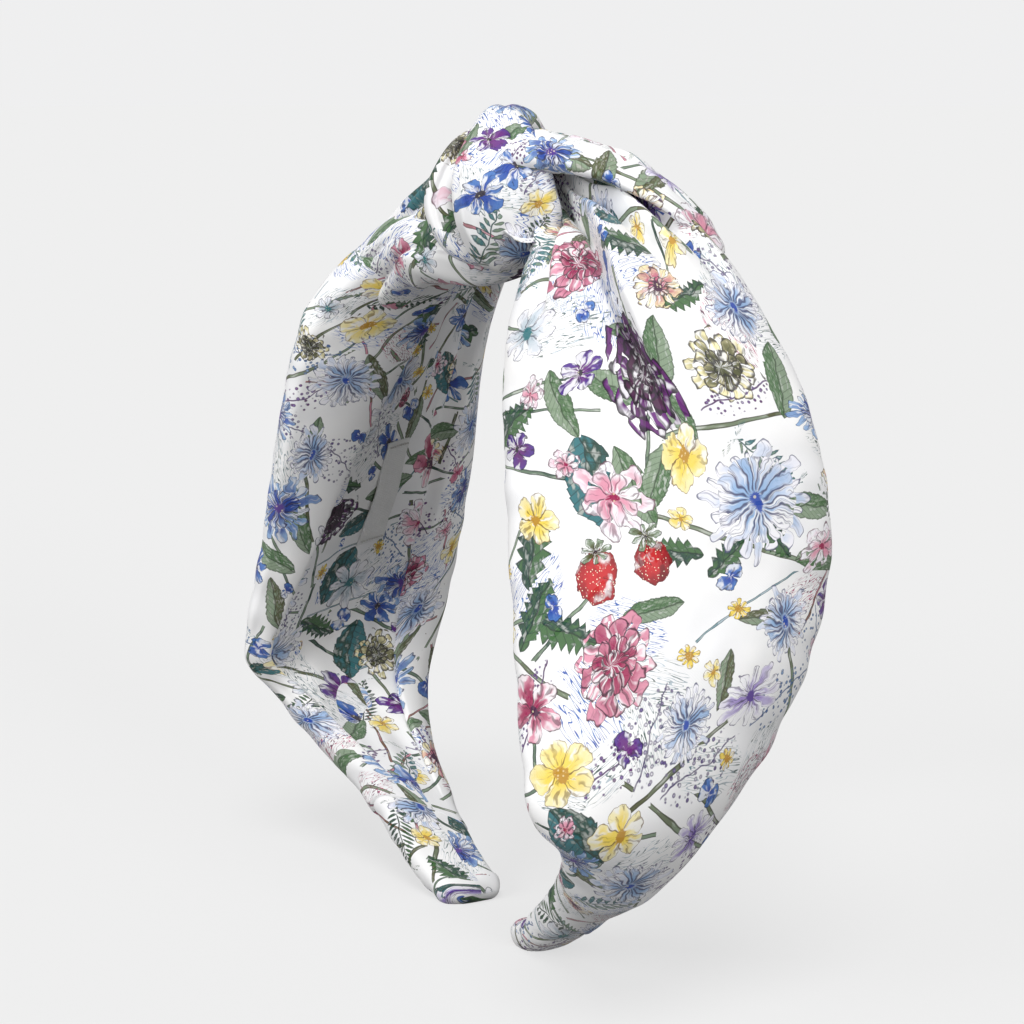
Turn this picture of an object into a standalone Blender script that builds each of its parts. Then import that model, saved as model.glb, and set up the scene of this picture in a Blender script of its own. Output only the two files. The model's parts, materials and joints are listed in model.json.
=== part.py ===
"""Knotted fabric headband standing on its two tips.

+Z is up, the front of the head is toward -Y, the wearer's right/left legs are at +X/-X.
The origin is on the floor, midway between the tips.  All lengths are metres.
"""
import math

import bmesh
import bpy
from mathutils import Vector

MM = 0.001

# ---- driving dimensions (millimetres) ---------------------------------------------------
# Leg edges, tip to knot: (share of the leg, x, y, z) for the front edge and the back edge.
FRONT_EDGE = ((0.00, 10, -6.3, 2.0), (0.03, 15, -6.5, 2.8), (0.06, 20, -7, 5.6), (0.15, 35, -10, 18), (0.30, 56, -20, 34),
              (0.39, 59, -28, 44), (0.58, 46, -24, 74), (0.77, 32, -18, 105), (0.89, 26, -15, 121),
              (1.00, 17, -11, 131))
BACK_EDGE = ((0.00, 10, 6.3, 2.0), (0.03, 15, 6.2, 2.8), (0.06, 20, 5.8, 5.4), (0.15, 34, 4.5, 15.5), (0.30, 51, 9, 33),
             (0.42, 62, 20, 53), (0.60, 66, 27.5, 80), (0.78, 60, 26.5, 109), (0.90, 45, 23, 127),
             (1.00, 24, 18, 136))
# Padded thickness and crosswise bow of the leg: (share of the leg, thickness, bow).
PADDING = ((0.00, 6.4, 0.0), (0.12, 7.6, 0.4), (0.20, 9.6, 1.5), (0.40, 11.0, 5.0),
           (0.75, 13.0, 4.0), (1.00, 13.5, 1.0))
ROUND_LOW = 0.4          # share of the thickness that lies on the head side of the edges
GAP = 0.45               # clearance between neighbouring pieces
CLOTH = 0.85             # cotton cover with its backing
LINING = 0.75
BAND_THICK, BAND_HALF = 1.1, 6.5
SLEEVE_END = 0.125       # the tip sleeve runs from the tip to here
LEG_TOP = 0.985          # the leg pieces stop here, just short of the knot
TIP_CREST = 6.0          # flatness of the tip sleeve's outside, which rests on the floor
TURN_IN = 0.62           # half width of the lining as a share of the half width of the leg
LABEL_AT, LABEL_LONG, LABEL_WIDE, LABEL_THICK = 0.62, 24.0, 7.5, 0.5
LABEL_ACROSS = -1.0      # label centre, from the middle of the lining toward the front edge
CROWN_SLOPE = 0.70       # slope of the crown where it meets a leg
CROWN_END = 0.945        # the crown pieces stop at this share of the way to the joint
KNOT_Y, KNOT_Z = 1.5, 146.0
WRAP_DEEP, WRAP_HIGH, WRAP_THICK, WRAP_HALF = 21.0, 18.0, 4.6, 13.0
FLEX_X, FLEX_Z = 26.2, 141.2   # spring axes, parallel to Y, on the outside of each leg's top

COTTON = (0.86, 0.85, 0.83, 1)


# ---- curves -----------------------------------------------------------------------------
def ease(table, t):
    """Smooth (Catmull-Rom) reading of a table whose first column is the share of the leg."""
    last = len(table) - 1
    i = min(max(sum(1 for row in table if row[0] <= t) - 1, 0), last - 1)
    a, b = table[i], table[i + 1]
    before, after = table[max(i - 1, 0)], table[min(i + 2, last)]
    span = b[0] - a[0]
    u = min(max((t - a[0]) / span, 0), 1)
    out = []
    for k in range(1, len(a)):
        m0 = (b[k] - before[k]) / max(b[0] - before[0], 1e-9) * span
        m1 = (after[k] - a[k]) / max(after[0] - a[0], 1e-9) * span
        out.append((2 * u**3 - 3 * u**2 + 1) * a[k] + (u**3 - 2 * u**2 + u) * m0
                   + (3 * u**2 - 2 * u**3) * b[k] + (u**3 - u**2) * m1)
    return out


class Station:
    """One cross-section of the right leg: its place, its axes and its size."""

    def __init__(self, t):
        front, back = Vector(ease(FRONT_EDGE, t)), Vector(ease(BACK_EDGE, t))
        step = 0.02
        near = [(Vector(ease(FRONT_EDGE, s)) + Vector(ease(BACK_EDGE, s))) / 2
                for s in (max(t - step, 0), min(t + step, 1))]
        along = (near[1] - near[0]).normalized()
        self.mid = (front + back) / 2
        self.across = (back - front).normalized()
        self.out = self.across.cross(along).normalized()
        if self.out.dot(Vector((self.mid.x, 0, self.mid.z - 80))) < 0:
            self.out.negate()
        self.half = (back - front).length / 2
        self.thick, self.bow = ease(PADDING, t)

    def point(self, q, h):
        """q: along the chord, h: above the head-side face; both in mm."""
        rise = h - ROUND_LOW * self.thick + self.bow * (1 - (q / self.half) ** 2)
        return self.mid + self.across * q + self.out * rise

    def outline(self, phi, inset, crest=2.4):
        """Closed outline of the padded section; phi = 0 at the back edge, 90 degrees outside.

        A higher crest gives a flatter outside."""
        share, low = math.cos(phi), ROUND_LOW * self.thick
        if math.sin(phi) >= 0:
            h = low + (self.thick - low - inset) * math.sqrt(max(1 - abs(share) ** crest, 0))
        else:
            h = low - (low - inset) * math.sqrt(max(1 - abs(share) ** 6, 0))
        return (self.half - inset) * share, h


def shares(start, end, count):
    return [start + (end - start) * i / (count - 1) for i in range(count)]


# ---- bodies -----------------------------------------------------------------------------
def clear_scene():
    for old in list(bpy.data.objects):
        bpy.data.objects.remove(old, do_unlink=True)


def material(name, colour, rough, metallic=0.0):
    mat = bpy.data.materials.new(name)
    mat.use_nodes = True
    shader = mat.node_tree.nodes["Principled BSDF"]
    shader.inputs["Base Color"].default_value = colour
    shader.inputs["Roughness"].default_value = rough
    shader.inputs["Metallic"].default_value = metallic
    return mat


def body(name, points, faces, parent, side=1, colour=COTTON, rough=0.85, metallic=0.0, smooth=True):
    """One closed piece; side = -1 mirrors it to the left leg."""
    origin = Vector(parent.location) if parent else Vector((0, 0, 0))
    mesh = bpy.data.meshes.new(name)
    bm = bmesh.new()
    verts = [bm.verts.new(Vector((p.x * side, p.y, p.z)) * MM - origin) for p in points]
    for face in faces:
        bm.faces.new([verts[i] for i in (face if side > 0 else face[::-1])])
    bmesh.ops.recalc_face_normals(bm, faces=bm.faces)
    if bm.calc_volume(signed=True) < 0:
        bmesh.ops.reverse_faces(bm, faces=bm.faces)
    for face in bm.faces:
        face.smooth = smooth
    bm.to_mesh(mesh)
    bm.free()
    obj = bpy.data.objects.new(name, mesh)
    bpy.context.scene.collection.objects.link(obj)
    mesh.materials.append(material(name, colour, rough, metallic))
    if parent:
        obj.parent = parent
    return obj


def slab(name, upper, lower, parent, **look):
    """A closed piece between two grids of points of the same size (rows of columns)."""
    rows, cols = len(upper), len(upper[0])
    points = [p for row in upper for p in row] + [p for row in lower for p in row]
    base = rows * cols
    faces = []
    for i in range(rows - 1):
        for j in range(cols - 1):
            a, b, c, d = i * cols + j, i * cols + j + 1, (i + 1) * cols + j + 1, (i + 1) * cols + j
            faces += [(a, b, c, d), (base + d, base + c, base + b, base + a)]
        for j in (0, cols - 1):
            a, d = i * cols + j, (i + 1) * cols + j
            quad = (a, d, base + d, base + a)
            faces.append(quad if j == 0 else quad[::-1])
    for j in range(cols - 1):
        for i in (0, rows - 1):
            a, b = i * cols + j, i * cols + j + 1
            quad = (a, base + a, base + b, b)
            faces.append(quad if i == 0 else quad[::-1])
    return body(name, points, faces, parent, **look)


def cup(name, outer, inner, parent, **look):
    """A tube of rings closed at its first end, open at its last, with wall thickness."""
    cols = len(outer[0])
    points = [p for ring in outer for p in ring] + [p for ring in inner for p in ring]
    base = len(outer) * cols
    faces = [tuple(range(cols)), tuple(range(base, base + cols))[::-1]]
    for start, rings, turn in ((0, len(outer), 1), (base, len(inner), -1)):
        for i in range(rings - 1):
            for j in range(cols):
                k = (j + 1) % cols
                quad = (start + i * cols + j, start + (i + 1) * cols + j,
                        start + (i + 1) * cols + k, start + i * cols + k)
                faces.append(quad[::turn])
    last, deep = (len(outer) - 1) * cols, base + (len(inner) - 1) * cols
    for j in range(cols):
        k = (j + 1) % cols
        faces.append((last + j, deep + j, deep + k, last + k))
    return body(name, points, faces, parent, **look)


# ---- leg pieces -------------------------------------------------------------------------
def outer_cover(side, suffix, parent):
    """Printed cotton over the padding, its edges turned in to the lining."""
    stations = [Station(t) for t in shares(0.13, LEG_TOP, 34)]
    tuck = math.acos(TURN_IN + 0.02)
    path = shares(-tuck, math.pi + tuck, 27)
    upper = [[s.point(*s.outline(p, 0)) for p in path] for s in stations]
    lower = [[s.point(*s.outline(p, CLOTH)) for p in path] for s in stations]
    slab("outer_cover_" + suffix, upper, lower, parent, side=side)


def foam_pad(side, suffix, parent):
    """The soft filling under the cover, flat where it lies on the core band."""
    inset, floor = CLOTH + GAP + 0.15, LINING + BAND_THICK + 2 * GAP
    path = shares(0.16, math.pi - 0.16, 13)
    upper, lower = [], []
    for t in shares(0.145, LEG_TOP - 0.004, 24):
        s = Station(t)
        low = ROUND_LOW * s.thick
        floor_here = min(floor, low - 0.4)
        upper.append([s.point(*s.outline(p, inset)) for p in path])
        lower.append([s.point((s.half - inset) * math.cos(p),
                              low - (low - floor_here) * math.sqrt(1 - abs(math.cos(p)) ** 6))
                      for p in path])
    slab("foam_pad_" + suffix, upper, lower, parent, side=side, colour=(0.92, 0.90, 0.84, 1), rough=0.95)


def band_half(s):
    return min(BAND_HALF, 0.5 * s.half)


def core_band(side, suffix, parent):
    """Springy plastic band, from inside the tip sleeve up to the knot."""
    low, high = LINING + GAP, LINING + GAP + BAND_THICK
    upper, lower = [], []
    for t in shares(0.035, LEG_TOP, 34):
        s = Station(t)
        wide = band_half(s)
        columns = shares(-wide, wide, 5)
        upper.append([s.point(q, high) for q in columns])
        lower.append([s.point(q, low) for q in columns])
    slab("core_band_" + suffix, upper, lower, parent, side=side, colour=(0.83, 0.84, 0.85, 1), rough=0.35)


def lining(side, suffix, parent):
    """Printed cotton on the head side, between the turned-in edges of the cover."""
    upper, lower = [], []
    for t in shares(0.15, LEG_TOP, 34):
        s = Station(t)
        wide = TURN_IN * s.half - 0.3 - GAP
        columns = shares(-wide, wide, 9)
        upper.append([s.point(q, LINING) for q in columns])
        lower.append([s.point(q, 0.0) for q in columns])
    slab("lining_" + suffix, upper, lower, parent, side=side, colour=(0.80, 0.80, 0.79, 1))


def tip_sleeve(side, suffix, parent):
    """Small cloth bag over the end of the band, with a flat rest where it meets the floor."""
    count = 28
    low, high = LINING, LINING + BAND_THICK + 2 * GAP
    outer, inner = [], []
    for i, t in enumerate(shares(0.0, SLEEVE_END, 21)):
        s = Station(t)
        shrink = (0.80, 0.95)[i] if i < 2 else 1.0
        ring = []
        for k in range(count):
            q, h = s.outline(2 * math.pi * k / count, 0.0, crest=TIP_CREST)
            mid = ROUND_LOW * s.thick
            p = s.point(q * shrink, mid + (h - mid) * shrink)
            ring.append(Vector((p.x, p.y, max(p.z, 0.0))))
        outer.append(ring)
    for t in shares(0.028, SLEEVE_END, 7):
        s = Station(t)
        wide = band_half(s) + GAP
        centre, tall = (low + high) / 2, (high - low) / 2
        ring = []
        for k in range(count):
            a = 2 * math.pi * k / count
            c, v = math.cos(a), math.sin(a)
            ring.append(s.point(wide * math.copysign(abs(c) ** 0.35, c) * 1.04,
                                centre + tall * math.copysign(abs(v) ** 0.35, v) * 1.04))
        inner.append(ring)
    cup("tip_sleeve_" + suffix, outer, inner, parent, side=side)


def gather_strand(side, suffix, parent, across, wide, tall, end):
    """A rounded strand of gathered cloth that runs from the knot down over the cover."""
    path = shares(0.12, math.pi - 0.12, 11)
    upper, lower = [], []
    for t in shares(LEG_TOP, end, 16):
        s = Station(t)
        fade = (t - end) / (LEG_TOP - end)
        swell = 0.35 + 0.65 * math.sin(math.pi / 2 * min(1, fade * 1.4))
        row_up, row_low = [], []
        for p in path:
            q = s.half * across + wide * math.cos(p)
            share = min(abs(q) / s.half, 0.97)
            low = ROUND_LOW * s.thick
            top = low + (s.thick - low) * math.sqrt(1 - share ** 2.4)
            row_low.append(s.point(q, top + GAP + 0.1))
            row_up.append(s.point(q, top + GAP + 0.1 + tall * swell * math.sin(p)))
        upper.append(row_up)
        lower.append(row_low)
    slab("gather_strand_" + suffix, upper, lower, parent, side=side)


def label(side, parent):
    """Blank woven label on the lining of the left leg, held by a stitched bar at each end."""
    s0, s1 = Station(LABEL_AT - 0.02), Station(LABEL_AT + 0.02)
    per_mm = 0.04 / (s1.mid - s0.mid).length
    base = -GAP

    def patch(name, centre, long, across, wide, low, high, colour):
        upper, lower = [], []
        for t in shares(centre - long / 2 * per_mm, centre + long / 2 * per_mm, 7):
            s = Station(t)
            columns = shares(across - wide / 2, across + wide / 2, 5)
            upper.append([s.point(q, high) for q in columns])
            lower.append([s.point(q, low) for q in columns])
        slab(name, upper, lower, parent, side=side, colour=colour, smooth=False)

    patch("woven_label", LABEL_AT, LABEL_LONG, LABEL_ACROSS, LABEL_WIDE,
          base - LABEL_THICK, base, (0.90, 0.88, 0.84, 1))
    for name, way in (("label_stitch_upper", 1), ("label_stitch_lower", -1)):
        patch(name, LABEL_AT + way * (LABEL_LONG / 2 - 1.5) * per_mm, 0.7, LABEL_ACROSS,
              LABEL_WIDE - 1.6, base - 2 * LABEL_THICK - GAP, base - LABEL_THICK - 0.35,
              (0.93, 0.92, 0.88, 1))


# ---- crown pieces -----------------------------------------------------------------------
class CrownStation(Station):
    """Cross-sections across the crown; t runs from -1 (left joint) to 1 (right joint)."""

    def __init__(self, t):
        end = Station(1.0)
        reach = end.mid.x
        rise = 0.5 * reach * (1 - t * t) * CROWN_SLOPE
        self.mid = Vector((reach * t, end.mid.y, end.mid.z + rise))
        self.across = Vector((0, 1, 0))
        slope = -CROWN_SLOPE * t
        self.out = Vector((-slope, 0, 1)).normalized()
        self.half, self.thick, self.bow = end.half, end.thick, end.bow




def crown_pieces():
    low, high = LINING + GAP, LINING + GAP + BAND_THICK
    across = [CrownStation(t) for t in shares(-CROWN_END, CROWN_END, 15)]

    def strip(name, wide, bottom, top, **look):
        columns = shares(-wide, wide, 7)
        slab(name, [[s.point(q, top) for q in columns] for s in across],
             [[s.point(q, bottom) for q in columns] for s in across], None, **look)

    strip("core_band_crown", BAND_HALF, low, high, colour=(0.83, 0.84, 0.85, 1), rough=0.35)
    strip("lining_crown", BAND_HALF + 0.6, 0.0, LINING, colour=(0.80, 0.80, 0.79, 1))

    # Shoulders: the gathered cloth between the wrap and the top of each leg.
    for side, suffix in ((1, "right"), (-1, "left")):
        path = shares(0.16, math.pi - 0.16, 15)
        upper, lower = [], []
        for t in shares((WRAP_HALF + 1.8) / Station(1.0).mid.x, CROWN_END, 4):
            s = CrownStation(t)
            floor = high + GAP
            upper.append([s.point(*s.outline(p, 0.2)) for p in path])
            lower.append([s.point((s.half - 0.2) * math.cos(p), min(floor, 0.38 * s.thick))
                          for p in path])
        slab("knot_shoulder_" + suffix, upper, lower, None, side=side)

    # The wrap: a wide loop of cloth over the knot, from below its front to below its back.
    start, end = math.radians(-50), math.radians(230)
    outer, inner = [], []
    for a in shares(start, end, 41):
        y, z = -math.cos(a), math.sin(a)
        row_out, row_in = [], []
        for x in shares(-WRAP_HALF, WRAP_HALF, 11):
            edge = (x / WRAP_HALF) ** 2
            deep, high_here = WRAP_DEEP - 2.2 * edge, WRAP_HIGH - 2.6 * edge
            thick = WRAP_THICK - 2.4 * edge
            row_out.append(Vector((x, KNOT_Y + deep * y, KNOT_Z + high_here * z)))
            row_in.append(Vector((x, KNOT_Y + (deep - thick) * y, KNOT_Z + (high_here - thick) * z)))
        outer.append(row_out)
        inner.append(row_in)
    slab("knot_wrap", outer, inner, None)

    # The stuffing that the wrap is tied over.
    top = CrownStation(0).point(0, high).z + GAP + 0.2
    crest = KNOT_Z + WRAP_HIGH - WRAP_THICK - 0.8
    centre, tall = (top + crest) / 2, (crest - top) / 2
    upper, lower = [], []
    for x in shares(-WRAP_HALF + 1.2, WRAP_HALF - 1.2, 13):
        shrink = math.sqrt(1 - (0.93 * x / (WRAP_HALF - 1.2)) ** 2)
        columns = shares(0.12, math.pi - 0.12, 15)
        deep = 12.4 * (0.6 + 0.4 * shrink)
        drop = 0.6 + 0.4 * shrink
        sink = 1.2 * (1 - shrink)
        upper.append([Vector((x, KNOT_Y + deep * math.cos(a), centre + tall * drop * math.sin(a) - sink))
                      for a in columns])
        lower.append([Vector((x, KNOT_Y + deep * math.cos(a), centre - tall * shrink * math.sin(a)))
                      for a in columns])
    slab("knot_padding", upper, lower, None, colour=(0.92, 0.90, 0.84, 1), rough=0.95)


def main():
    clear_scene()
    crown_pieces()
    for side, suffix in ((1, "right"), (-1, "left")):
        pivot = bpy.data.objects.new("flex_" + suffix, None)
        pivot.location = (FLEX_X * side * MM, 0, FLEX_Z * MM)
        bpy.context.scene.collection.objects.link(pivot)
        for build in (core_band, foam_pad, outer_cover, lining, tip_sleeve):
            build(side, suffix, pivot)
        if side > 0:
            gather_strand(side, suffix, pivot, 0.42, 8.0, 4.0, 0.72)
        else:
            gather_strand(side, suffix, pivot, -0.30, 9.0, 3.6, 0.80)
            label(side, pivot)


main()
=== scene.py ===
"""Looks of the knotted headband: printed cotton over padding, gathered into a knot.

Lengths in this script are millimetres until they go into a mesh, in the frame of the CAD:
+Z up, the wearer's front toward -Y, the wearer's right leg of the band at +X.
"""
import json
import math

import bmesh
import bpy
import numpy as np
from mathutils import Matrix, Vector

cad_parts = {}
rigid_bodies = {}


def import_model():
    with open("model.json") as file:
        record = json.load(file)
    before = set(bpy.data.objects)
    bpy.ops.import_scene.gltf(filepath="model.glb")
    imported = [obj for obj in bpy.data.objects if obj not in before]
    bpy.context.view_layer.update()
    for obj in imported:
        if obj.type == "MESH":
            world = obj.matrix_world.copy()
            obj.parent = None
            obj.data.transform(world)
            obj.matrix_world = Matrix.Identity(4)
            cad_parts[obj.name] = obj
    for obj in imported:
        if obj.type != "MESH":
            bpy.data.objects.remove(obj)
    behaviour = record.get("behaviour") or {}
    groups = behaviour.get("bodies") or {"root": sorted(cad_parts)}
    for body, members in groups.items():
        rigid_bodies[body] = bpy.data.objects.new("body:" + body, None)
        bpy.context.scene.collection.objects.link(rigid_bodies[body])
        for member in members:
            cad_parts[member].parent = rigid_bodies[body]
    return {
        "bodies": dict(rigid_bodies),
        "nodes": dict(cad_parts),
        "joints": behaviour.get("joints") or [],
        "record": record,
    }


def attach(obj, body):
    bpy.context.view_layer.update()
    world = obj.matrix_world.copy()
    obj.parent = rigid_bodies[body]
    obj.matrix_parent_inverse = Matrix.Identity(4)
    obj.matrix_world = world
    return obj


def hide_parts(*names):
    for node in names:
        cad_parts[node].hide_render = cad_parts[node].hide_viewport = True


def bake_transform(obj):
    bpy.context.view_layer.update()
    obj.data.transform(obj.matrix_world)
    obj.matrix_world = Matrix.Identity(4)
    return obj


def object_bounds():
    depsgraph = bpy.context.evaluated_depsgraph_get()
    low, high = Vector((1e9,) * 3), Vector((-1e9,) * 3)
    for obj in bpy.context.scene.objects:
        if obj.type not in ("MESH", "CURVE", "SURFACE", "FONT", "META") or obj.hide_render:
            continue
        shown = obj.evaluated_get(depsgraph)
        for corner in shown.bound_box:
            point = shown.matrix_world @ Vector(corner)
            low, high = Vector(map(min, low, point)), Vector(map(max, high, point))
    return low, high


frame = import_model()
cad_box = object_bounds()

MM = 0.001
WIDTH = (cad_box[1][0] - cad_box[0][0]) / MM        # the band across both legs
K = WIDTH / 143.6                                   # one design millimetre, in millimetres

# ---- shape of a leg -----------------------------------------------------------------------
# Share of the leg from tip (0) to knot (1), then x, y, z of each edge of the right leg.
FRONT_EDGE = np.array([(0.00, 10, -5.5, 2.0), (0.03, 15, -6, 3.0), (0.06, 20, -7, 5.8),
                       (0.15, 35, -10, 18), (0.30, 56, -20, 34), (0.39, 59, -28, 44),
                       (0.58, 46, -24, 74), (0.77, 32, -18, 105), (0.89, 26, -14, 121),
                       (1.00, 19, -6, 133), (1.10, 14, -1, 142), (1.20, 5, 0, 146)], float)
BACK_EDGE = np.array([(0.00, 10, 5.5, 2.0), (0.03, 15, 5.4, 3.0), (0.06, 20, 5, 5.6),
                      (0.15, 34, 4.5, 15.5), (0.30, 51, 9, 33), (0.42, 62, 20, 53),
                      (0.60, 66, 27.5, 80), (0.78, 60, 26.5, 109), (0.90, 45, 23, 128),
                      (1.00, 26, 17, 139), (1.10, 15, 11, 146), (1.20, 5, 9, 149)], float)
# Share of the leg, padded thickness, crosswise bow.
PADDING = np.array([(0.00, 6.2, 0.0), (0.12, 7.4, 0.4), (0.20, 9.6, 1.5), (0.40, 11.0, 4.6),
                    (0.75, 13.0, 3.6), (1.00, 13.5, 1.0), (1.10, 12.0, 0.5), (1.20, 8.0, 0.0)])
ROUND_LOW = 0.4


def ease(table, t):
    """Catmull-Rom reading of a table at every value of t; returns one row per value."""
    keys = table[:, 0]
    i = np.clip(np.searchsorted(keys, t, "right") - 1, 0, len(keys) - 2)
    before, after = np.maximum(i - 1, 0), np.minimum(i + 2, len(keys) - 1)
    span = keys[i + 1] - keys[i]
    u = ((t - keys[i]) / span)[:, None]
    a, b = table[i, 1:], table[i + 1, 1:]
    m0 = (b - table[before, 1:]) * (span / (keys[i + 1] - keys[before]))[:, None]
    m1 = (table[after, 1:] - a) * (span / (keys[after] - keys[i]))[:, None]
    return ((2 * u**3 - 3 * u**2 + 1) * a + (u**3 - 2 * u**2 + u) * m0
            + (3 * u**2 - 2 * u**3) * b + (u**3 - u**2) * m1)


def unit(v):
    return v / np.maximum(np.linalg.norm(v, axis=-1, keepdims=True), 1e-9)


# The left leg is the right one mirrored, but its front edge stands forward by this much, mm.
LEFT_FORWARD = np.array([(0.00, 2.0), (0.10, 3.0), (0.20, 3.4), (0.33, 2.2), (0.45, 1.8), (0.52, 2.6),
                         (0.58, 4.4), (0.66, 7.0), (0.75, 9.6), (0.85, 11.0), (0.95, 8.0), (1.05, 3.5),
                         (1.20, 0.0)], float)
LEFT_WAY = np.array([0.447, -0.893, 0.0])           # the way it stands, in the mirror image


class Leg:
    """Cross-sections of a leg at the given shares; the left leg's are in its mirror image."""

    def __init__(self, t, side=1):
        self.t = t
        front, back = ease(FRONT_EDGE, t), ease(BACK_EDGE, t)
        self.mid = (front + back) / 2
        ahead = (ease(FRONT_EDGE, t + 0.01) + ease(BACK_EDGE, t + 0.01)) / 2
        behind = (ease(FRONT_EDGE, t - 0.01) + ease(BACK_EDGE, t - 0.01)) / 2
        chord = back - front
        self.half = np.linalg.norm(chord, axis=1) / 2
        self.across = unit(chord)
        self.out = unit(np.cross(self.across, unit(ahead - behind)))
        flip = np.sign(self.out[:, 0] * self.mid[:, 0] + self.out[:, 2] * (self.mid[:, 2] - 80))
        self.out *= np.where(flip == 0, 1, flip)[:, None]
        self.thick, self.bow = ease(PADDING, t).T
        # The padding thins out under the strand that crosses it at the knot.
        self.thick = self.thick * (1 - 0.7 * smooth(t, 0.97, 1.09))
        self.forward = ease(LEFT_FORWARD, t) * (LEFT_WAY if side < 0 else 0.0)
        step = np.linalg.norm(np.diff(self.mid, axis=0), axis=1)
        self.run = np.concatenate([[0], np.cumsum(step)])

    def point(self, q, h):
        """q: along the chord, h: above the head-side face; both one row per section."""
        share = q / self.half[:, None]
        rise = h - (ROUND_LOW * self.thick)[:, None] + self.bow[:, None] * (1 - share ** 2)
        place = self.mid[:, None] + self.across[:, None] * q[..., None] + self.out[:, None] * rise[..., None]
        return place + self.forward[:, None] * smooth(-share, 0.15, 1.0)[..., None]

    def outline(self, phi):
        """Padded section; phi is 0 at the back edge and a quarter turn on the outside."""
        share, high = np.cos(phi)[None], np.sin(phi)[None] >= 0
        low, thick = (ROUND_LOW * self.thick)[:, None], self.thick[:, None]
        top = low + (thick - low) * np.sqrt(np.maximum(1 - np.abs(share) ** 2.4, 0))
        under = low - low * np.sqrt(np.maximum(1 - np.abs(share) ** 6, 0))
        return self.half[:, None] * share, np.where(high, top, under)


def smooth(x, a, b):
    u = np.clip((x - a) / (b - a), 0, 1)
    return u * u * (3 - 2 * u)


def ripples(p, q, size, seed, count=14):
    """Soft seeded wrinkles, about -1 to 1, of roughly that wavelength."""
    rng = np.random.default_rng(seed)
    total = np.zeros_like(p)
    for _ in range(count):
        angle, phase = rng.uniform(0, math.tau, 2)
        k = math.tau / (size * rng.uniform(0.7, 1.6))
        total += np.sin(k * (p * math.cos(angle) + q * math.sin(angle)) + phase)
    return total / math.sqrt(count)


def even_angles(count, leg):
    """Angles round the padded section, spaced evenly along the widest section's outline."""
    fine = np.linspace(-math.pi / 2, 1.5 * math.pi, 4001)
    i = int(np.argmax(leg.half))
    q, h = leg.outline(fine)
    length = np.concatenate([[0], np.cumsum(np.hypot(np.diff(q[i]), np.diff(h[i])))])
    return np.interp(np.linspace(0, length[-1], count + 1)[:-1], length, fine)


# ---- meshes -------------------------------------------------------------------------------
def grid_mesh(name, points, cloth, wrap=False, side=1, caps=False, flip=False):
    """A quad grid (rows x columns x 3, mm) with its cloth coordinates as a UV map."""
    rows, cols = points.shape[:2]
    i, j = np.meshgrid(np.arange(rows - 1), np.arange(cols if wrap else cols - 1), indexing="ij")
    k = (j + 1) % cols
    quads = np.stack([i * cols + j, i * cols + k, (i + 1) * cols + k, (i + 1) * cols + j], -1).reshape(-1, 4)
    if (side < 0) != (flip != wrap):
        quads = quads[:, ::-1]
    co = points.reshape(-1, 3) * (side, 1, 1) * K * MM
    faces = [tuple(f) for f in quads.tolist()]
    if caps:
        faces += [tuple(range(cols))[::side], tuple(range((rows - 1) * cols, rows * cols))[::-side]]
    mesh = bpy.data.meshes.new(name)
    mesh.from_pydata(co.tolist(), [], faces)
    mesh.polygons.foreach_set("use_smooth", np.ones(len(faces), bool))
    corner = np.zeros(len(mesh.loops), int)
    mesh.loops.foreach_get("vertex_index", corner)
    flat = cloth.reshape(-1, 2)[corner % (rows * cols)]
    if wrap:
        # The seam's far side belongs one whole turn on.
        girth = 2 * cloth[:, -1, 0] - cloth[:, -2, 0] - cloth[:, 0, 0]
        last = (np.repeat(np.arange(len(faces)), [len(f) for f in faces]) % cols) == cols - 1
        last &= (corner % cols) == 0
        last &= np.arange(len(corner)) < len(quads) * 4
        flat[last, 0] += girth[corner[last] // cols]
    uv = mesh.uv_layers.new(name="cloth")
    uv.data.foreach_set("uv", (flat * MM).astype(np.float32).ravel())
    mesh.update()
    obj = bpy.data.objects.new(name, mesh)
    bpy.context.scene.collection.objects.link(obj)
    return obj


def cloth_coords(points):
    """Distance across and along the cloth, in mm, for a grid of points."""
    across = np.concatenate([np.zeros((len(points), 1)),
                             np.cumsum(np.linalg.norm(np.diff(points, axis=1), axis=2), axis=1)], 1)
    middle = points[:, points.shape[1] // 2]
    along = np.concatenate([[0], np.cumsum(np.linalg.norm(np.diff(middle, axis=0), axis=1))])
    return np.stack([across, np.repeat(along[:, None], points.shape[1], 1)], -1)


# ---- materials ----------------------------------------------------------------------------
class Value:
    """A number or vector socket that can be used in arithmetic."""

    def __init__(self, tree, socket):
        self.tree, self.socket = tree, socket

    def __add__(self, other):
        return sums(self.tree, "ADD", self, other)

    def __sub__(self, other):
        return sums(self.tree, "SUBTRACT", self, other)

    def __rsub__(self, other):
        return sums(self.tree, "SUBTRACT", other, self)

    def __mul__(self, other):
        return sums(self.tree, "MULTIPLY", self, other)

    def __truediv__(self, other):
        return sums(self.tree, "DIVIDE", self, other)

    __radd__, __rmul__ = __add__, __mul__


def plug(tree, socket, value):
    if isinstance(value, Value):
        tree.links.new(value.socket, socket)
    else:
        socket.default_value = value


def sums(tree, operation, *values):
    node = tree.nodes.new("ShaderNodeMath")
    node.operation = operation
    for socket, value in zip(node.inputs, values):
        plug(tree, socket, value)
    return Value(tree, node.outputs[0])


def rise(tree, value, low, high, to=(0.0, 1.0)):
    """Smooth step from low to high."""
    node = tree.nodes.new("ShaderNodeMapRange")
    node.interpolation_type = "SMOOTHSTEP"
    for socket, item in zip(node.inputs, (value, low, high, *to)):
        plug(tree, socket, item)
    return Value(tree, node.outputs[0])


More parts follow.
